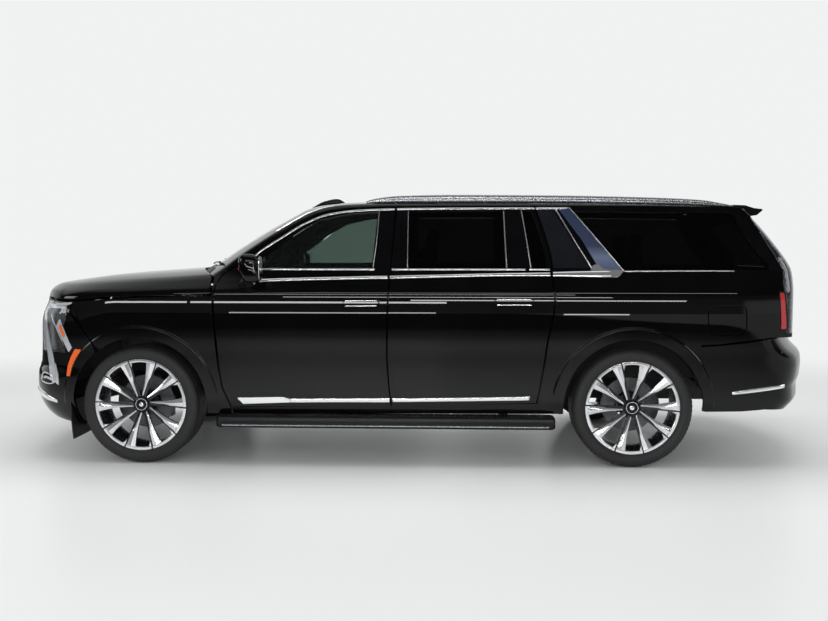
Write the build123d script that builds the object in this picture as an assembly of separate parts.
"""Full-size sport utility vehicle with a long wheelbase, four side doors, a clamshell bonnet and a liftgate.

The frame: X runs aft, Y to the vehicle's right, Z up, in millimetres. The origin is on the floor at mid-length.
Outline points are written from the axles: F is the front axle's X and R the rear axle's.
"""
import itertools
import math
import os

from build123d import *

# ---------------------------------------------------------------- driving dimensions
FRONT_OVERHANG = 1000.0
WHEELBASE = 3407.0
REAR_OVERHANG = 1380.0
BODY_WIDTH = 2060.0
LENGTH = FRONT_OVERHANG + WHEELBASE + REAR_OVERHANG
NOSE = -LENGTH / 2
TAIL = LENGTH / 2
F = NOSE + FRONT_OVERHANG
R = F + WHEELBASE
HALF = BODY_WIDTH / 2

SHUT_GAP = 8.0            # between a moving panel and its neighbour
FIT = 0.3                 # between fixed pieces that seat on each other
LINER_GAP = 2.0           # between an arch liner and the panel outside it
DOOR_FLANGE = 18.0        # thickness of a door's outer skin where it laps the aperture
DOOR_DEPTH = 70.0         # whole thickness of a door
DOOR_LAP = 45.0           # how far the flange laps past the door's inner body
WALL = 92.0               # whole thickness of the body side
PANEL = 42.0              # thickness of bonnet, wings and bumper covers
ROOF_SKIN = 22.0
ROOF_SEAT = 0.8           # the roof panel lies this far above the body sides
GLASS = 5.0
GLASS_SET_IN = 6.0        # glass lies this far below the skin

TYRE_RADIUS = 412.0
TYRE_WIDTH = 285.0
RIM_RADIUS = 322.0
TRACK = 1736.0
STEER_AXIS_Y = 770.0
HINGE_Y = 1012.0          # door hinge pins, this far from the centre line
FRONT_HINGE = F + 563.0
REAR_HINGE = F + 1762.0
HINGE_Z = (930.0, 1080.0)
PIN = 4.0
SWING_ROOM = 50.0         # depth kept free behind a door's flange for its front edge to swing into
ARCH_RADIUS = 470.0
ARCH_CENTRE_Z = 415.0
FLARE_WIDTH = 72.0
FLARE_PROUD = 9.0
AXLE_Z = TYRE_RADIUS

# ---------------------------------------------------------------- curves of the body, as tables
# (height, how far the side lies inside the widest point)
SECTION = [(200, 150), (300, 82), (400, 42), (480, 25), (650, 14), (850, 8), (1000, 4), (1100, 1), (1160, 0),
           (1200, 7), (1260, 31), (1310, 55), (1350, 72), (1500, 127), (1650, 185), (1780, 240), (1860, 280)]
# (height, how far the nose lies behind its foremost point)
NOSE_RECESS = [(150, 520), (221, 258), (243, 168), (280, 84), (368, 24), (430, 6), (500, 0), (600, 5), (680, 34),
               (800, 40), (980, 48), (1040, 62), (1090, 88), (1190, 114), (1300, 190), (1400, 280)]
# (distance aft of the front axle, height) of the bonnet's centre line
BONNET_LINE = [(-1100, 1010), (-900, 1175), (-840, 1215), (-772, 1241), (-700, 1258), (-573, 1277), (-335, 1307),
               (-20, 1331), (237, 1349), (468, 1368), (700, 1385)]
# (distance aft of the front axle, height) of the windscreen and roof at the pillars
ROOF_LINE = [(200, 1208), (400, 1322), (522, 1396), (647, 1480), (837, 1597), (938, 1654), (1083, 1732),
             (1155, 1765), (1227, 1789), (1335, 1808), (1443, 1817), (1586, 1822), (1900, 1825), (2500, 1824),
             (3200, 1818), (3700, 1808), (4150, 1792), (4700, 1768)]
# (height, distance aft of the rear axle) of the liftgate and of the rear bumper on the centre line
GATE_LINE = [(700, 1252), (833, 1257), (961, 1258), (1208, 1258), (1279, 1252), (1349, 1240), (1405, 1212),
             (1468, 1168), (1559, 1096), (1643, 1025), (1720, 954), (1800, 874), (1900, 770)]
BUMPER_LINE = [(200, 1180), (330, 1240), (391, 1300), (463, 1355), (541, 1352), (606, 1371), (698, 1380),
               (748, 1374), (833, 1300), (905, 1262), (1000, 1250)]

NOSE_SWEEP = 177.0        # the nose falls back this far at 800 mm from the centre line
GATE_SWEEP = 100.0        # the same for the liftgate, at 700 mm
BUMPER_SWEEP = 158.0      # and for the rear bumper, at 700 mm
SCREEN_BOW = 100.0        # the windscreen's middle stands ahead of its pillars
ROOF_CROWN = 30.0
BONNET_DROP = 30.0        # the bonnet falls this much at 800 mm from the centre line


def smooth(table, at):
    """Value of a table at a place, by a monotone cubic between its rows."""
    if at <= table[0][0]:
        (x0, y0), (x1, y1) = table[0], table[1]
        return y0 + (y1 - y0) / (x1 - x0) * (at - x0)
    if at >= table[-1][0]:
        (x0, y0), (x1, y1) = table[-2], table[-1]
        return y1 + (y1 - y0) / (x1 - x0) * (at - x1)
    rises = [(b[1] - a[1]) / (b[0] - a[0]) for a, b in zip(table, table[1:])]
    inner = [0.0 if a * b <= 0 else 2 * a * b / (a + b) for a, b in zip(rises, rises[1:])]
    slopes = [rises[0]] + inner + [rises[-1]]
    k = max(i for i in range(len(table) - 1) if table[i][0] <= at)
    (x0, y0), (x1, y1) = table[k], table[k + 1]
    h = x1 - x0
    t = (at - x0) / h
    return (y0 * (1 + 2 * t) * (1 - t) ** 2 + h * slopes[k] * t * (1 - t) ** 2
            + y1 * t * t * (3 - 2 * t) - h * slopes[k + 1] * t * t * (1 - t))


def half_width(x, z):
    """Half of the body's width at a station and a height."""
    width = HALF - smooth(SECTION, z)
    ahead = F - 200 + smooth(NOSE_RECESS, z) - x
    if ahead > 0:
        taper = 230 * (ahead / 623) ** 3.7
        width -= taper / (1 + (taper / 560) ** 4) ** 0.25     # it stays finite ahead of the nose
    behind = x - (R + 600)
    if behind > 0:
        width -= 100 * (behind / 543) ** 2.5
    pillar = F + 1300 - x
    if pillar > 0 and z > 1200:
        width -= 55 * (pillar / 800) ** 2 * min(1.0, (z - 1200) / 200)
    return width


def nose_x(y, z):
    return NOSE + smooth(NOSE_RECESS, z) + NOSE_SWEEP * (abs(y) / 800) ** 1.95


def gate_x(y, z):
    return R + smooth(GATE_LINE, z) - GATE_SWEEP * (y / 700) ** 2


def bumper_x(y, z):
    return R + smooth(BUMPER_LINE, z) - BUMPER_SWEEP * (y / 700) ** 2


def bonnet_z(x, y):
    return smooth(BONNET_LINE, x - F) - BONNET_DROP * (y / 800) ** 4


def roof_z(x, y):
    in_board = 1 - (y / 700) ** 2
    return smooth(ROOF_LINE, x - F + SCREEN_BOW * in_board) + ROOF_CROWN * in_board


# ---------------------------------------------------------------- solids from those curves
def steps(low, high, count):
    return [low + (high - low) * k / (count - 1) for k in range(count)]


def graph_solid(point, us, vs, sweep):
    """The solid that a surface sweeps along a straight way: point(u, v) gives the surface."""
    face = Face.make_surface_from_array_of_points([[Vector(*point(u, v)) for v in vs] for u in us], tol=0.3)
    return Solid.extrude(face, Vector(*sweep))


WIDE = steps(-HALF - 60, HALF + 60, 15)


def side_prism(points, y_from=-HALF - 150, y_to=0.0):
    """A closed side-view outline, swept across the car. Points are (X, Z)."""
    wire = Wire([Line(Vector(a[0], y_from, a[1]), Vector(b[0], y_from, b[1])).edge()
                 for a, b in zip(points, points[1:] + points[:1])])
    return Solid.extrude(Face(wire), Vector(0, y_to - y_from, 0))


def side_piece(outline, depth_from, depth_to):
    """Left-hand panel with that side-view outline, between two depths below the body's skin."""
    xs, zs = [p[0] for p in outline], [p[1] for p in outline]
    us = steps(min(xs) - 80, max(xs) + 80, 5 + int((max(xs) - min(xs)) / 150))
    vs = steps(min(zs) - 60, max(zs) + 60, 5 + int((max(zs) - min(zs)) / 90))
    band = graph_solid(lambda x, z: (x, -half_width(x, z) + depth_from, z), us, vs, (0, depth_to - depth_from, 0))
    return band & side_prism(outline)


def face_piece(surface, outline, depth_from, depth_to, way):
    """Left half of a nose (way 1) or tail (way -1) panel with that front-view outline of (Y, Z)."""
    ys, zs = [p[0] for p in outline], [p[1] for p in outline]
    us = steps(min(ys) - 60, max(ys) + 60, 5 + int((max(ys) - min(ys)) / 90))
    vs = steps(min(zs) - 50, max(zs) + 50, 5 + int((max(zs) - min(zs)) / 60))
    band = graph_solid(lambda y, z: (surface(y, z) + way * depth_from, y, z), us, vs,
                       (way * (depth_to - depth_from), 0, 0))
    wire = Wire([Line(Vector(0, *a), Vector(0, *b)).edge() for a, b in zip(outline, outline[1:] + outline[:1])])
    start = NOSE - 200 if way > 0 else R - 200
    prism = Pos(start, 0, 0) * Solid.extrude(Face(wire), Vector(2200, 0, 0))
    return band & prism


def top_piece(surface, plan, depth_from, depth_to):
    """Left half of a bonnet or roof panel with that plan outline of (X, Y)."""
    xs, ys = [p[0] for p in plan], [p[1] for p in plan]
    us = steps(min(xs) - 80, max(xs) + 80, 5 + int((max(xs) - min(xs)) / 110))
    vs = steps(min(ys) - 60, max(ys) + 60, 13)
    band = graph_solid(lambda x, y: (x, y, surface(x, y) - depth_from), us, vs, (0, 0, depth_from - depth_to))
    return band & plan_prism(plan, 150, 2200)


def plan_prism(points, z0, z1):
    wire = Wire([Line(Vector(a[0], a[1], z0), Vector(b[0], b[1], z0)).edge()
                 for a, b in zip(points, points[1:] + points[:1])])
    return Solid.extrude(Face(wire), Vector(0, 0, z1 - z0))


def solve(wrong, low, high):
    """Where a falling or rising function crosses zero."""
    sign = wrong(low) > 0
    for _ in range(40):
        mid = (low + high) / 2
        if (wrong(mid) > 0) == sign:
            low = mid
        else:
            high = mid
    return (low + high) / 2


def front_corner(z):
    """Half-width at which the nose meets the side at that height."""
    return solve(lambda y: half_width(nose_x(y, z), z) - y, 500, HALF)


def tail_corner(surface, z):
    return solve(lambda y: half_width(surface(y, z), z) - y, 500, HALF)


def shoulder(surface, x, z_low=700):
    """Height at which the bonnet or roof meets the side at that station."""
    return solve(lambda z: surface(x, half_width(x, z)) - z, z_low, 1900)


def block(x0, x1, y0, y1, z0, z1):
    return Pos((x0 + x1) / 2, (y0 + y1) / 2, (z0 + z1) / 2) * Box(abs(x1 - x0), abs(y1 - y0), abs(z1 - z0))



def at(axle, points):
    return [(axle + x, z) for x, z in points]


def grown(points, by):
    """The outline moved outwards (inwards where by is below 0), with its corners kept sharp."""
    area = sum(a[0] * b[1] - b[0] * a[1] for a, b in zip(points, points[1:] + points[:1]))
    side = 1 if area > 0 else -1
    moved = []
    for k, p in enumerate(points):
        a, b = points[k - 1], points[(k + 1) % len(points)]
        u = (p[0] - a[0], p[1] - a[1])
        v = (b[0] - p[0], b[1] - p[1])
        lu, lv = math.hypot(*u), math.hypot(*v)
        n = (side * u[1] / lu, -side * u[0] / lu)
        m = (side * v[1] / lv, -side * v[0] / lv)
        k2 = by / max(0.35, 1 + n[0] * m[0] + n[1] * m[1])
        moved.append((p[0] + (n[0] + m[0]) * k2, p[1] + (n[1] + m[1]) * k2))
    return moved


def rod(a, b, radius):
    """Round bar between two points."""
    way = Vector(*b) - Vector(*a)
    plane = Plane(origin=Vector(*a), z_dir=way)
    return Solid.make_cylinder(radius, way.length, plane)


def across(x, z, radius, y0, y1):
    """Round bar along Y."""
    return rod((x, y0, z), (x, y1, z), radius)


def both(piece):
    """The piece and its twin on the other side, as separate solids."""
    return solids_of(piece) + solids_of(mirror(piece, Plane.XZ))


def largest(piece):
    return max(solids_of(piece), key=lambda s: s.volume)


def joined(piece):
    """The piece and its mirror image as one."""
    return piece + mirror(piece, Plane.XZ)


def solids_of(shape):
    if isinstance(shape, (list, tuple, ShapeList)):
        return [s for item in shape for s in solids_of(item)]
    return list(shape.solids())


NODES = {}


def node(name, *shapes):
    """One node of the part: every solid in the shapes, kept apart."""
    NODES[name] = [s for s in solids_of(list(shapes)) if s.volume > 30.0]


# ---------------------------------------------------------------- outlines in side view
DOOR_FRONT = [(642, 404), (584, 545), (559, 718), (543, 918), (533, 1050), (533, 1183), (546, 1251), (582, 1319)]
DOOR_TOP = [(690, 1390), (791, 1456), (848, 1505), (956, 1575), (1099, 1667), (1241, 1733), (1312, 1754),
            (1453, 1774), (1651, 1785)]
DOOR_MIDDLE = [(1776, 1787), (1764, 1580), (1744, 1343), (1732, 1185), (1725, 988), (1724, 724), (1735, 552),
               (1750, 409)]
GATEWARD = [(2742, 1788), (2790, 1644), (2838, 1471), (2849, 1317), (2864, 1187), (2858, 1070), (2821, 887),
            (2791, 677), (2750, 444)]
FRONT_DOOR = at(F, DOOR_FRONT + DOOR_TOP + DOOR_MIDDLE)
REAR_DOOR = at(F, [(x + SHUT_GAP, z) for x, z in reversed(DOOR_MIDDLE)])
REAR_DOOR += at(R, [(x - 3407, z) for x, z in GATEWARD])
FRONT_GLASS = at(F, [(858, 1366), (858, 1441), (972, 1525), (1107, 1623), (1248, 1700), (1459, 1744), (1655, 1755),
                     (1648, 1706), (1618, 1366)])
REAR_GLASS = at(F, [(1871, 1366), (1871, 1757), (2590, 1758), (2655, 1366)])
SMALL_GLASS = at(R, [(-707, 1366), (-772, 1757), (-692, 1757), (-649, 1644), (-601, 1471), (-590, 1366)])
QUARTER_GLASS = at(R, [(-68, 1354), (-389, 1757), (690, 1743), (930, 1354)])
BONNET_SEAM = at(F, [(-1100, 1178), (-780, 1158), (-600, 1141), (-438, 1138), (-268, 1152), (13, 1163), (238, 1171),
                     (433, 1176), (620, 1184)])
BONNET_REAR_CENTRE = F + 282
BONNET_REAR_SWEEP = 160.0          # it ends this much farther aft at 800 mm from the centre line


def seam_z(x, table=tuple(BONNET_SEAM)):
    return smooth(list(table), x)


CREASE = 2.0              # panels stop this far short of the edge where two faces of the body meet


def arc(axle, radius, low_z, count=26, raised=0.0):
    """Points of an arch's rim over an axle, from front to rear, ending at a height on both sides."""
    z0 = ARCH_CENTRE_Z + raised
    drop = max(-0.98, min(0.98, (low_z - z0) / radius))
    first, last = math.pi - math.asin(drop), math.asin(drop)
    return [(axle + radius * math.cos(first + (last - first) * k / (count - 1)),
             z0 + radius * math.sin(first + (last - first) * k / (count - 1))) for k in range(count)]


def ring(axle, inner, outer, low_z, raised=0.0):
    return arc(axle, outer, low_z, raised=raised) + arc(axle, inner, low_z, raised=raised)[::-1]


def opening(axle, radius=ARCH_RADIUS):
    return across(axle, ARCH_CENTRE_Z, radius, -HALF - 100, -HALF + 220)


well = across(R, ARCH_CENTRE_Z + 15, ARCH_RADIUS + 45, -HALF + 60, -480)


# ---------------------------------------------------------------- bonnet
def bonnet_rear(y):
    return BONNET_REAR_CENTRE + BONNET_REAR_SWEEP * (y / 800) ** 2


def brow(y):
    """Height at which the bonnet's top meets the nose."""
    return solve(lambda z: bonnet_z(nose_x(y, z), y) - z, 1000, 1400)


BROW_SIDE = solve(lambda y: y - front_corner(brow(y)), 500, HALF)
half_gap = SHUT_GAP / 2
front_line = [(nose_x(y, brow(y)) + CREASE, -y) for y in steps(0, BROW_SIDE - CREASE, 14)]
side_line = []
for x in steps(front_line[-1][0] + 15, F + 520, 20):
    y = half_width(x, shoulder(bonnet_z, x)) - CREASE
    if x < bonnet_rear(y) - half_gap:
        side_line.append((x, -y))
rear_line = [(bonnet_rear(y) - half_gap, -y) for y in steps(abs(side_line[-1][1]), 0, 14)]
hood = top_piece(bonnet_z, front_line + side_line + rear_line, 0, PANEL)
seam_front = [(-y, seam_z(nose_x(y, 1160)) + half_gap) for y in steps(0, BROW_SIDE - CREASE, 14)]
brow_line = [(-y, brow(y) - CREASE) for y in steps(BROW_SIDE - CREASE, 0, 14)]
hood += face_piece(nose_x, seam_front + brow_line, 0, PANEL, 1)
skirt_x = steps(nose_x(BROW_SIDE, 1180) + CREASE + 2, F + 520, 26)
skirt = [(x, seam_z(x) + half_gap) for x in skirt_x]
skirt += [(x, shoulder(bonnet_z, x) - CREASE) for x in skirt_x[::-1]]
hood += side_piece(skirt, 0, PANEL)
arm = [(350, 1290), (350, 1262), (480, 1252), (556, 1322), (554, 1338), (540, 1340), (470, 1284), (400, 1296)]
arm = side_prism(at(F, arm), y_from=-837, y_to=-823) - across(F + 545, 1330, 7 + FIT, -900, -700)
lip_z = seam_z(nose_x(300, 1160)) + half_gap
hood = largest(hood) - block(NOSE - 20, NOSE + 160, -300, 10, 1000, lip_z)
hood = largest(hood) + arm
node("hood", joined(largest(hood)))

# ---------------------------------------------------------------- wings and front bumper
WING_SEAM = at(F, [(-475, 1061), (-359, 908), (-311, 838)])
wing_top = [(x, seam_z(x) - half_gap) for x in steps(F - 475, F + 520, 18)]
WING = wing_top + [(x - SHUT_GAP, z) for x, z in at(F, DOOR_FRONT[5::-1])] + \
    at(F, [(634, 352), (540, 352)]) + arc(F, ARCH_RADIUS, 352)[::-1][:-9] + WING_SEAM[::-1]
wing = side_piece(WING, 0, PANEL)
flare_ring = ring(F, ARCH_RADIUS, ARCH_RADIUS + FLARE_WIDTH, 440)
flare_front = side_piece(flare_ring, -FLARE_PROUD, 20)
flare_front = flare_front & side_prism(at(F, [(-311, 838), (-200, 1100), (800, 1100), (800, 300), (-311, 300)]))
wing = largest(wing + flare_front)
# the wings are bolted to pads on the body sides, ahead of the front doors
WING_PAD_X = (F + 480, F + 512)
WING_PADS = [(z, half_width(F + 496, z) - (PANEL + SWING_ROOM) / 2) for z in (560, 960)]
for z, pad_y in WING_PADS:
    wing += block(*WING_PAD_X, -pad_y - 12, -pad_y, z - 20, z + 20)
node("front_fenders", both(largest(wing)))

LAMP_TOP, LAMP_FOOT, LAMP_LOW = 1132.0, 1012.0, 778.0
lamp_face = [(-600, LAMP_TOP), (-600, LAMP_FOOT), (-735, LAMP_FOOT), (-735, LAMP_LOW), (-HALF, LAMP_LOW),
             (-HALF, LAMP_TOP)]
lamp_side = at(F, [(-1000, LAMP_TOP), (-507, LAMP_TOP), (-512, LAMP_FOOT), (-524, LAMP_LOW), (-1000, LAMP_LOW)])
BUMPER_LOW = 225.0
corner_z = steps(BUMPER_LOW, 1135, 16)


def seam_front_z(y):
    return seam_z(nose_x(y, 1160)) - half_gap


top_y = steps(0, front_corner(1150) - 12, 12)
face_outline = [(-y, seam_front_z(y)) for y in top_y[::-1]] + \
    [(0, BUMPER_LOW)] + [(-front_corner(z) + CREASE, z) for z in steps(BUMPER_LOW, 1135, 16)]
face = face_piece(nose_x, face_outline, 0, PANEL, 1)
mouth = [(0, 640), (0, 1130), (-560, 1130), (-560, 640)]
low_mouth = [(0, 330), (0, 520), (-520, 520), (-520, 330)]


def yz_prism(outline, x0, x1):
    pairs = zip(outline, outline[1:] + outline[:1])
    wire = Wire([Line(Vector(x0, *a), Vector(x0, *b)).edge() for a, b in pairs])
    return Solid.extrude(Face(wire), Vector(x1 - x0, 0, 0))


def corner_line(zs):
    return [(nose_x(front_corner(z), z) + CREASE, z) for z in zs]


side_seam = [(x - SHUT_GAP, z) for x, z in WING_SEAM]
corner = corner_line(corner_z)
under_hood = [(x, seam_z(x) - half_gap) for x in steps(corner[-1][0] + 12, F - 475 - SHUT_GAP, 6)]
by_arch = [p for p in arc(F, ARCH_RADIUS + 3, BUMPER_LOW)[::-1] if p[0] < F - 330]
bumper_side = corner + under_hood + side_seam + by_arch + at(F, [(-560, BUMPER_LOW)])
flank = side_piece(bumper_side, 0, PANEL)
lamp_cut_face, lamp_cut_side = yz_prism(lamp_face, NOSE - 100, F - 500), side_prism(lamp_side, y_to=-500)
STAY_Y = (385.0, 475.0)   # the bumpers' stays lie in line with the frame's rails
STAY_FRONT, STAY_REAR = NOSE + 200, R + 1160
bumper = (face - yz_prism(mouth, NOSE - 100, F) - yz_prism(low_mouth, NOSE - 100, F) - lamp_cut_face) \
    + (flank - lamp_cut_side)
bumper = largest(bumper) + block(NOSE + 82, STAY_FRONT, -STAY_Y[1], -STAY_Y[0], 555, 620)
node("front_bumper", joined(largest(bumper)))
lamp = (face & yz_prism(grown(lamp_face, -FIT), NOSE - 100, F - 500)) \
    + (flank & side_prism(grown(lamp_side, -FIT), y_to=-500))
node("headlamps", both(largest(lamp)))


def mouth_filling(half, low, high):
    outline = [(0, low + FIT), (0, high - FIT), (-half + FIT, high - FIT), (-half + FIT, low + FIT)]
    return joined(face_piece(nose_x, outline, 14, 34, 1))


node("grille", mouth_filling(560, 640, 1130), mouth_filling(520, 330, 520))

# ---------------------------------------------------------------- body sides, roof, tail
GATE_HALF = 700.0
ROOF_END = R + 720
GATE_LOW = 905.0


def gate_corner_x(z):
    return gate_x(tail_corner(gate_x, z), z) - CREASE


def over_wall(x):
    return shoulder(roof_z, x, 1000) - ROOF_SKIN - ROOF_SEAT


wall_top = [(x, over_wall(x)) for x in steps(F + 480, R + 1000, 44)]
tail_zs = steps(over_wall(R + 1000), GATE_LOW, 14)
tail_edge = [(gate_corner_x(z), z) for z in tail_zs if gate_corner_x(z) > R + 1000]
foot_x = F + 527
LAMP_DEPTH = 50.0
LAMP_Z = (925.0, 1716.0)
LAMP_EDGE = at(R, [(817, LAMP_Z[1]), (1020, 1353), (1005, 1243), (1022, 953), (1022, LAMP_Z[0])])
lamp_edge_out = [(LAMP_EDGE[0][0] - FIT, LAMP_Z[1] + FIT)] + [(x - FIT, z) for x, z in LAMP_EDGE[1:-1]] + \
    [(LAMP_EDGE[-1][0] - FIT, LAMP_Z[0] - FIT)]


def tail_line(z_high, z_low, count):
    return [(gate_corner_x(z), z) for z in steps(z_high, z_low, count)]


def tail_outline(z_low, z_high, count=16, inset=CREASE):
    """Rear-view outline of the pillar beside the liftgate, ending that far inside the body's corner."""
    zs = steps(z_low, z_high, count)
    return [(-GATE_HALF, z_low)] + [(-tail_corner(gate_x, z) + inset, z) for z in zs] + [(-GATE_HALF, z_high)]


PILLAR_TOP = 1766.0
wall_end = gate_corner_x(PILLAR_TOP) - 10
wall_front = [(foot_x, 1192)] + [(x, z) for x, z in wall_top if foot_x < x < wall_end]
wall_foot = at(R, [(910, 900), (578, 857), (448, 850), (448, 420), (420, 400), (-485, 400), (-494, 366)]) + \
    at(F, [(650, 356), (650, 420), (900, 1192)])
outer_outline = wall_front + tail_line(PILLAR_TOP, LAMP_Z[1] + FIT, 3) + lamp_edge_out + \
    tail_line(LAMP_Z[0] - FIT, GATE_LOW, 2) + wall_foot
inner_tail = [(x - LAMP_DEPTH - 30, z) for x, z in tail_line(PILLAR_TOP - 4, GATE_LOW + 2, 14)]
inner_outline = [p for p in wall_front if p[0] < inner_tail[0][0] - 8] + inner_tail + wall_foot
wall_outer = side_piece(outer_outline, 0, SWING_ROOM + 6)
lug_wall = at(F, [(470 + FIT, 420), (720, 420), (720, 1230), (470 + FIT, 1230)])
wall_inner = largest(side_piece(inner_outline, LAMP_DEPTH + FIT, WALL))
wall_inner += side_piece(lug_wall, SWING_ROOM, WALL)
for outline in (FRONT_DOOR, REAR_DOOR):
    wall_outer = wall_outer - side_prism(grown(outline, SHUT_GAP), y_to=-500)
    wall_inner = wall_inner - side_prism(grown(outline, -(DOOR_LAP - 16)), y_to=-500)
wall = sum(solids_of(wall_outer), largest(wall_inner))
lamp_side_outline = LAMP_EDGE + tail_line(LAMP_Z[0], LAMP_Z[1], 14)
behind_edge = side_prism(LAMP_EDGE + at(R, [(1400, LAMP_Z[0]), (1400, LAMP_Z[1])]), y_to=-500)
tail_lamp = face_piece(gate_x, tail_outline(*LAMP_Z), 0, LAMP_DEPTH, -1) & behind_edge
tail_lamp = largest(side_piece(lamp_side_outline, 0, LAMP_DEPTH) + largest(tail_lamp))
pillar = tail_outline(GATE_LOW + 6, PILLAR_TOP - 9, inset=LAMP_DEPTH + 14)
wall += face_piece(gate_x, pillar, LAMP_DEPTH + 3 * LINER_GAP, WALL, -1)
wall += face_piece(gate_x, tail_outline(LAMP_Z[1] + FIT, PILLAR_TOP, 4), 0, LAMP_DEPTH + 5, -1)
wall += face_piece(gate_x, tail_outline(GATE_LOW, LAMP_Z[0] - FIT, 3), 0, LAMP_DEPTH + 5, -1)
wall = largest(wall)
wall = wall - opening(R) - side_prism(QUARTER_GLASS, y_to=-500)
flare_rear = side_piece(ring(R, ARCH_RADIUS, ARCH_RADIUS + FLARE_WIDTH, 440), -FLARE_PROUD, 20)
behind_seam = side_prism(at(R, [(448, 852), (448, 300), (700, 300), (700, 852)]))
flare_rear = flare_rear - side_prism(grown(REAR_DOOR, SHUT_GAP)) - behind_seam
wall = wall + flare_rear


def upright(x, y, radius, z0, z1):
    return Pos(x, y, (z0 + z1) / 2) * Cylinder(radius, z1 - z0)


for hinge_x in (FRONT_HINGE, REAR_HINGE):
    for z in HINGE_Z:
        lug = block(hinge_x - 8, hinge_x + 4, -HINGE_Y, -HINGE_Y + 70, z - 10, z + 10)
        lug += upright(hinge_x, -HINGE_Y, PIN + 3, z - 10, z + 10)
        wall += lug - upright(hinge_x, -HINGE_Y, PIN + FIT, z - 20, z + 20)
for z, pad_y in WING_PADS:
    wall += block(*WING_PAD_X, -pad_y + FIT, -pad_y + 14, z - 20, z + 20)
BONNET_PIN = (F + 545, 1330)
GATE_PIN = (R + 736, 1818)
node("body_sides", both(largest(wall)))
node("tail_lamps", both(tail_lamp))

roof_side = []
for x in steps(F + 520 + SHUT_GAP, ROOF_END, 40):
    roof_side.append((x, -half_width(x, shoulder(roof_z, x, 1000)) + CREASE))
PILLAR_FOOT_Y = HALF - 135
roof_plan = [(bonnet_rear(y) + half_gap, -y) for y in steps(0, PILLAR_FOOT_Y, 12)]
roof_plan += [(F + 520 + SHUT_GAP, -PILLAR_FOOT_Y)] + roof_side + [(ROOF_END, 0)]
screen_plan = [(bonnet_rear(y) + 70, -y) for y in steps(0, 650, 8)] + \
    [(F + 1055, -600), (F + 1055, 0)]
roof = top_piece(roof_z, roof_plan, 0, ROOF_SKIN) - plan_prism(screen_plan, 1000, 2000)
roof = roof - block(F + 300, F + 562, -842, -818, 1200, 1450)       # slots for the bonnet's hinge arms
roof = largest(roof)
roof += block(F + 538, F + 552, -852, -842, 1325, 1360) + across(*BONNET_PIN, 7, -852, -812)
roof += block(ROOF_END - 30, GATE_PIN[0] + 8, -461, -439, 1795, 1812)
roof += across(*GATE_PIN, 8, -461, -439) + across(*GATE_PIN, 4, -476, -424)
node("roof_panel", joined(largest(roof)))
pane_plan = [(bonnet_rear(y) + 70 + 2 * FIT, -y) for y in steps(0, 650 - FIT, 8)] + \
    [(F + 1055 - FIT, -600 + FIT), (F + 1055 - FIT, 0)]
screen = top_piece(roof_z, pane_plan, GLASS_SET_IN, GLASS_SET_IN + GLASS)
quarter = side_piece(grown(QUARTER_GLASS, -FIT), GLASS_SET_IN, GLASS_SET_IN + GLASS)
node("fixed_glass", joined(screen), both(quarter))

# ---------------------------------------------------------------- doors
def door(outline, windows, hinge_x):
    """A flange that laps the aperture, the door's body inside it, and the pockets for its hinge pins."""
    flange = side_piece(outline, 0, DOOR_FLANGE)
    inner = side_piece(grown(outline, -DOOR_LAP), DOOR_FLANGE - 6, DOOR_DEPTH)
    panel = flange + inner
    for w in windows:
        panel -= side_prism(w, y_to=-500)
    for z in HINGE_Z:
        skin = half_width(hinge_x, z)
        panel -= block(hinge_x - 60, hinge_x + 14, -skin + 4, -HINGE_Y + 30, z - 30, z + 30)
        panel += upright(hinge_x, -HINGE_Y, PIN, z - 31, z + 31)
    return largest(panel)


def pane(outline, inset=FIT):
    return side_piece(grown(outline, -inset), GLASS_SET_IN, GLASS_SET_IN + GLASS)


def handle(x0, x1, z0, z1):
    return side_piece(at(F, [(x0, z0), (x1, z0), (x1, z1), (x0, z1)]), -22, 8)


front_door = door(FRONT_DOOR, [FRONT_GLASS], FRONT_HINGE) + handle(1430, 1675, 1105, 1150)
rear_door = door(REAR_DOOR, [REAR_GLASS, SMALL_GLASS], REAR_HINGE) + handle(2460, 2725, 1115, 1162)
front_pane = pane(FRONT_GLASS)
rear_panes = [pane(REAR_GLASS), pane(SMALL_GLASS)]
mirror_arm = block(F + 700, F + 790, -HALF - 90, -965, 1240, 1275)
mirror_head = block(F + 735, F + 880, -1185, -1050, 1275, 1468)
wing_mirror = mirror_arm + mirror_head
wing_mirror = wing_mirror - side_piece(at(F, [(650, 1150), (1000, 1150), (1000, 1560), (650, 1560)]), -FIT, 300)
for name, turn in (("left", lambda p: p), ("right", lambda p: [mirror(q, Plane.XZ) for q in solids_of(p)])):
    node(f"door_front_{name}", turn(front_door))
    node(f"door_rear_{name}", turn(rear_door))
    node(f"glass_front_{name}", turn(front_pane))
    node(f"glass_rear_{name}", turn(rear_panes))
    node(f"mirror_{name}", turn(wing_mirror))

# ---------------------------------------------------------------- liftgate and rear bumper


def gate_band(depth, thick, y0, z0, z1):
    """Left half of a liftgate-shaped panel between the centre line and y0, from z0 to z1."""
    ys, zs = steps(y0 - 40, 40, 9), steps(z0 - 60, z1 + 60, 18)
    band = graph_solid(lambda y, z: (gate_x(y, z) - depth, y, z), ys, zs, (-thick, 0, 0))
    return band & block(R + 300, TAIL + 100, y0, 0, z0, z1)


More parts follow.
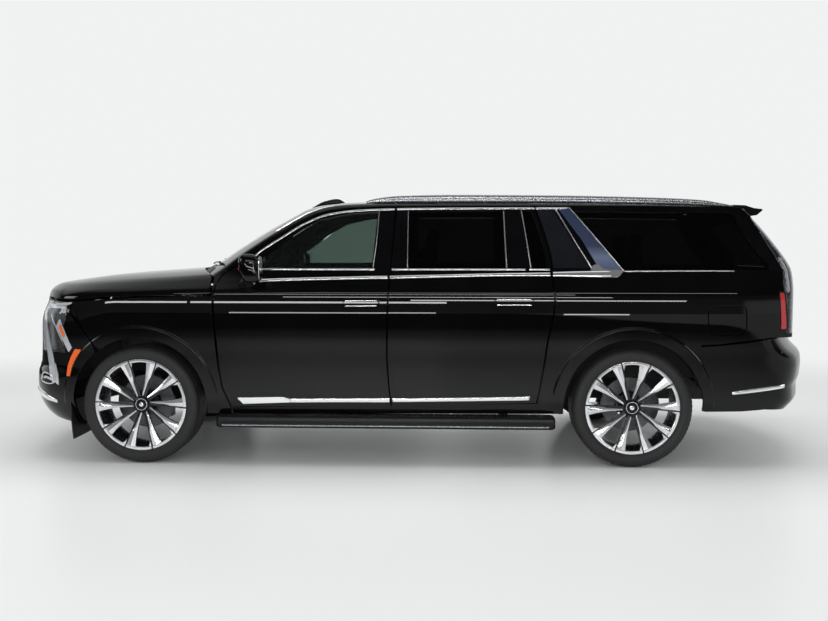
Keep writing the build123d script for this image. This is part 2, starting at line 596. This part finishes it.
gate = gate_band(0, 80, -GATE_HALF + SHUT_GAP, 912, 1775) - gate_band(-30, 200, -600, 1350, 1730)
gate = gate - block(R + 300, R + 744, -HALF, 10, 1600, 1950)
gate += top_piece(roof_z, [(R + 744, 0), (R + 744, -650), (R + 940, -630), (R + 970, 0)], 0, 45)
for y in (-470, -430):
    gate += block(GATE_PIN[0] - 4, GATE_PIN[0] + 40, y - 6, y + 6, 1790, 1818) + across(*GATE_PIN, 8, y - 6, y + 6)
    gate = gate - across(*GATE_PIN, 4 + FIT, y - 30, y + 30)
gate = largest(gate)
gate_pane = gate_band(GLASS_SET_IN, GLASS, -600 + FIT, 1350 + FIT, 1730 - FIT)
node("liftgate", joined(gate))
node("liftgate_glass", joined(gate_pane))

BUMPER_FOOT, BUMPER_TOP = 345.0, 897.0


def bumper_corner_x(z):
    return bumper_x(tail_corner(bumper_x, z), z) - CREASE


rear_face = [(0, BUMPER_TOP), (0, BUMPER_FOOT)] + [(-tail_corner(bumper_x, z) + CREASE, z)
                                                   for z in steps(BUMPER_FOOT, BUMPER_TOP, 12)]
rear_flank = at(R, [(456, 842), (578, 849), (910, 892)]) + \
    [(bumper_corner_x(z), z) for z in steps(890, BUMPER_FOOT, 12)] + at(R, [(860, BUMPER_FOOT), (470, 390)])
rear_bumper = face_piece(bumper_x, rear_face, 0, PANEL, -1)
rear_bumper += side_piece(rear_flank, 0, PANEL) - opening(R, ARCH_RADIUS + 3)
rear_bumper = largest(rear_bumper) + block(STAY_REAR, R + 1262, -STAY_Y[1], -STAY_Y[0], 480, 545)
node("rear_bumper", joined(rear_bumper))

# ---------------------------------------------------------------- wheels
WHEEL_Y = TRACK / 2
DISC_RADIUS = 190.0
SPINDLE = 30.0


def turned(points, x, z):
    """Solid of revolution about the line along Y through (x, z). Points are (y, radius)."""
    wire = Wire([Line(Vector(x, a[0], z + a[1]), Vector(x, b[0], z + b[1])).edge()
                 for a, b in zip(points, points[1:] + points[:1])])
    return revolve(Face(wire), Axis((x, 0, z), (0, 1, 0)), 360)


def tyre(x, y):
    half = TYRE_WIDTH / 2
    return turned([(y - half + 14, RIM_RADIUS + 1), (y - half, RIM_RADIUS + 32), (y - half + 3, RIM_RADIUS + 62),
                   (y - half + 24, TYRE_RADIUS - 6), (y - half + 60, TYRE_RADIUS), (y + half - 60, TYRE_RADIUS),
                   (y + half - 24, TYRE_RADIUS - 6), (y + half - 3, RIM_RADIUS + 62), (y + half, RIM_RADIUS + 32),
                   (y + half - 14, RIM_RADIUS + 1)], x, AXLE_Z)


def rim(x, y):
    """Barrel, ten-blade face and brake disc, for a wheel on the left; its outer face is at y - 130."""
    face = y - 128
    barrel = turned([(face, RIM_RADIUS + 0.7), (face, RIM_RADIUS - 12), (y + 120, RIM_RADIUS - 20),
                     (y + 120, RIM_RADIUS + 0.7)], x, AXLE_Z)
    web = turned([(face + 6, RIM_RADIUS - 10), (face + 16, 60), (face + 70, 60), (face + 70, 80),
                  (face + 40, 150), (face + 32, RIM_RADIUS - 10)], x, AXLE_Z)
    for k in range(10):
        turn = math.radians(36 * k + 18)
        corners = [(RIM_RADIUS - 26, -0.165), (RIM_RADIUS - 26, 0.165), (105.0, 0.10), (105.0, -0.10)]
        outline = [(x + r * math.sin(turn + a), AXLE_Z + r * math.cos(turn + a)) for r, a in corners]
        web -= side_prism(outline, y_from=face - 40, y_to=face + 120)
    hub = across(x, AXLE_Z, 84, face + 30, y + 62) + across(x, AXLE_Z, 70, face + 12, face + 40)
    disc = across(x, AXLE_Z, DISC_RADIUS, y + 30, y + 62)
    bore = across(x, AXLE_Z, SPINDLE + FIT, y + 18, y + 80)
    return barrel + web + (hub + disc - bore)


wheel_at = {"front": F, "rear": R}
for end, axle in wheel_at.items():
    left_rim, left_tyre = rim(axle, -WHEEL_Y), tyre(axle, -WHEEL_Y)
    node(f"wheel_{end}_left", left_rim)
    node(f"wheel_{end}_right", mirror(left_rim, Plane.XZ))
    node(f"tyre_{end}_left", left_tyre)
    node(f"tyre_{end}_right", mirror(left_tyre, Plane.XZ))

hub_face = -WHEEL_Y + 62 + 5
KINGPIN = 12.0
knuckle = block(F - 60, F + 60, hub_face, -690, AXLE_Z - 130, AXLE_Z + 125)
knuckle += block(F - 40, F + 150, -745, -700, AXLE_Z - 15, AXLE_Z + 20)
knuckle += across(F, AXLE_Z, SPINDLE, -WHEEL_Y + 20, hub_face + 5)
for z in (AXLE_Z - 130, AXLE_Z + 125):
    knuckle = knuckle - upright(F, -STEER_AXIS_Y, KINGPIN + FIT, z - 30, z + 30)
node("knuckle_left", knuckle)
node("knuckle_right", mirror(knuckle, Plane.XZ))

# ---------------------------------------------------------------- chassis
RAIL_Y = 430.0
RAIL_HALF = 45.0
RAIL_Z = (395.0, 545.0)
FLOOR_Z = 560.0
chassis = block(NOSE + 260, STAY_REAR - FIT, -RAIL_Y - RAIL_HALF, -RAIL_Y + RAIL_HALF, *RAIL_Z)
for x in (F - 450, F + 420, F + 1200, F + 1900, R - 480, R + 480, STAY_REAR - 60):
    chassis += block(x - 40, x + 40, -RAIL_Y, 0, RAIL_Z[0] + 30, RAIL_Z[1] - 30)
for x in (F + 620, F + 1750, R - 700, R + 700):
    chassis += block(x - 35, x + 35, -870, -RAIL_Y, RAIL_Z[0] + 50, RAIL_Z[1] - 40)
chassis = chassis - block(R - 80, R + 80, -600, 10, 300, AXLE_Z + 55)
for rail_x, beam_x, z in ((NOSE + 260, STAY_FRONT + FIT, 555), (STAY_REAR - FIT, STAY_REAR - 90, 480)):
    low, high = min(rail_x, beam_x), max(rail_x, beam_x)
    chassis += block(low, high + (80 if z > 500 else 0), -STAY_Y[1], -STAY_Y[0], RAIL_Z[0] + 60, z + 65)
    chassis += block(beam_x, beam_x + 85, -660, 0, z, z + 65)
chassis = joined(chassis)
chassis += joined(block(F - 60, F + 60, -RAIL_Y - RAIL_HALF, -RAIL_Y + RAIL_HALF, 235, RAIL_Z[0] + 5))
receiver = block(TAIL - 330, TAIL - 140, -36, 36, 400, 472) - block(TAIL - 320, TAIL, -25.4, 25.4, 410.6, 461.4)
chassis += receiver
node("chassis_frame", chassis)

chassis_side = -RAIL_Y - RAIL_HALF
low_arm = block(F - 22, F + 22, -784, -700, 240, 275) + block(F - 60, F + 60, -702, chassis_side - FIT, 240, 275)
low_arm += upright(F, -STEER_AXIS_Y, KINGPIN, 270, 305)
high_arm = block(F - 22, F + 22, -784, -700, RAIL_Z[1] + FIT, 575)
high_arm += block(F - 60, F + 60, -702, chassis_side + 60, RAIL_Z[1] + FIT, 575)
high_arm += upright(F, -STEER_AXIS_Y, KINGPIN, 512, 550)
node("front_suspension", both(low_arm), both(high_arm))
axle_bar = across(R, AXLE_Z, 45, -(WHEEL_Y - 62 - 5), 0) + across(R, AXLE_Z, 120, -150, 0)
axle_bar += across(R, AXLE_Z, SPINDLE, -WHEEL_Y + 20, -700)
axle_bar += block(R - 30, R + 30, -480, -380, AXLE_Z, AXLE_Z + 55 - FIT)
node("rear_axle", joined(axle_bar))

engine = block(F - 380, F + 330, -300, 300, 560, 1080)
for side_y in (-1, 1):
    engine += block(F - 40, F + 40, side_y * 290, side_y * 405, RAIL_Z[1] + FIT, 620)
node("engine_block", engine)


def inside_walls(x0, x1, z, z_far, slack=0.0):
    """Plan outline of the room between the body sides, over a range of heights."""
    xs = steps(x0, x1, 2 + int((x1 - x0) / 150))
    line = [(x, -(min(half_width(x, z), half_width(x, z_far)) - WALL - FIT - slack)) for x in xs]
    return [(x0, 0)] + line + [(x1, 0)]


floor_low, floor_top = RAIL_Z[1] + FIT, FLOOR_Z + 40
FIREWALL = (F + 454, F + 470)     # clear of the front tyres at full lock
floor = plan_prism(inside_walls(F + 470, R + 1060, floor_low, floor_top), floor_low, floor_top)
floor += plan_prism(inside_walls(FIREWALL[0], FIREWALL[1], 700, 1225, -30), floor_low, 1225)
floor = floor - well
front_liner = side_piece(ring(F, ARCH_RADIUS + 45, ARCH_RADIUS + 65, 560, 15), PANEL + LINER_GAP, 540)
rear_liner = side_piece(ring(R, ARCH_RADIUS + 45, ARCH_RADIUS + 65, 570, 15), WALL + LINER_GAP, 540)
floor += (front_liner & block(F - 560, F + 460, -HALF, 0, 540, 1060)) + rear_liner
floor = floor + block(R - 560, R + 560, -492, -480, floor_top - 5, 900)
node("floor_pan", joined(floor))

dash = joined(block(F + 470 + FIT, F + 800, -(HALF - 215), 0, 880, 1180))


def seat(x, y, width):
    base = block(x + 40, x + 440, y - width / 2 + 60, y + width / 2 - 60, FLOOR_Z + 40 + FIT, 800)
    cushion = block(x, x + 520, y - width / 2, y + width / 2, 800, 940)
    back = side_prism([(x + 430, 900), (x + 540, 900), (x + 720, 1500), (x + 620, 1500)], y - width / 2, y + width / 2)
    head = side_prism([(x + 640, 1500), (x + 710, 1500), (x + 740, 1660), (x + 670, 1660)], y - 130, y + 130)
    return base + cushion + back + head


node("front_seats", both(seat(F + 1330, -400, 540)))
node("rear_seats", both(seat(F + 2230, -400, 560)))
WHEEL_TILT = 25.0
wheel_plane = Plane(origin=(F + 1010, -400, 1090), x_dir=(0, 1, 0),
                    z_dir=(math.cos(math.radians(WHEEL_TILT)), 0, math.sin(math.radians(WHEEL_TILT))))
steering = wheel_plane * Torus(175, 15) + wheel_plane * Pos(0, 0, -12) * Cylinder(48, 40)
steering -= wheel_plane * Pos(0, 0, -27) * Cylinder(12 + FIT, 30)
for spoke in (0, 180, 270):
    steering += wheel_plane * Rot(0, 0, spoke) * Pos(105, 0, 0) * Box(140, 28, 14)
node("steering_wheel", steering)
hub_centre, column_way = wheel_plane.origin, wheel_plane.z_dir
dash += rod(tuple(hub_centre - column_way * 300), tuple(hub_centre - column_way * 38), 32)
dash += rod(tuple(hub_centre - column_way * 60), tuple(hub_centre - column_way * 18), 12)
node("dashboard", dash)

board = block(F + 540, R - 527, -HALF - 20, -870, 262, 345)
for x in (F + 900, R - 900):
    board += block(x, x + 60, -880, -RAIL_Y - RAIL_HALF - FIT, 300, 340)
    board += block(x, x + 60, -RAIL_Y - RAIL_HALF - 80, -RAIL_Y - RAIL_HALF - FIT, 300, 430)
node("running_boards", both(board))
RAIL_LINE = at(F, [(1568, 1847), (1690, 1866), (1798, 1876), (2155, 1882)]) + \
    at(R, [(-542, 1877), (162, 1861), (512, 1843), (617, 1827), (722, 1808)])
rail_side = RAIL_LINE + [(x, roof_z(x, 675) - 1) for x, _ in reversed(RAIL_LINE)]
rail = side_prism(rail_side, y_from=-700, y_to=-660)
rail = rail - top_piece(roof_z, [(F + 1500, -750), (F + 4200, -750), (F + 4200, -600), (F + 1500, -600)], -FIT, 60)
node("roof_rails", both(rail))

os.makedirs("parts", exist_ok=True)
for name, shapes in NODES.items():
    export_step(Compound(shapes) if len(shapes) > 1 else shapes[0], f"parts/{name}.step")
    print(name, len(shapes), round(sum(s.volume for s in shapes) / 1e6, 2), all(s.is_valid for s in shapes))
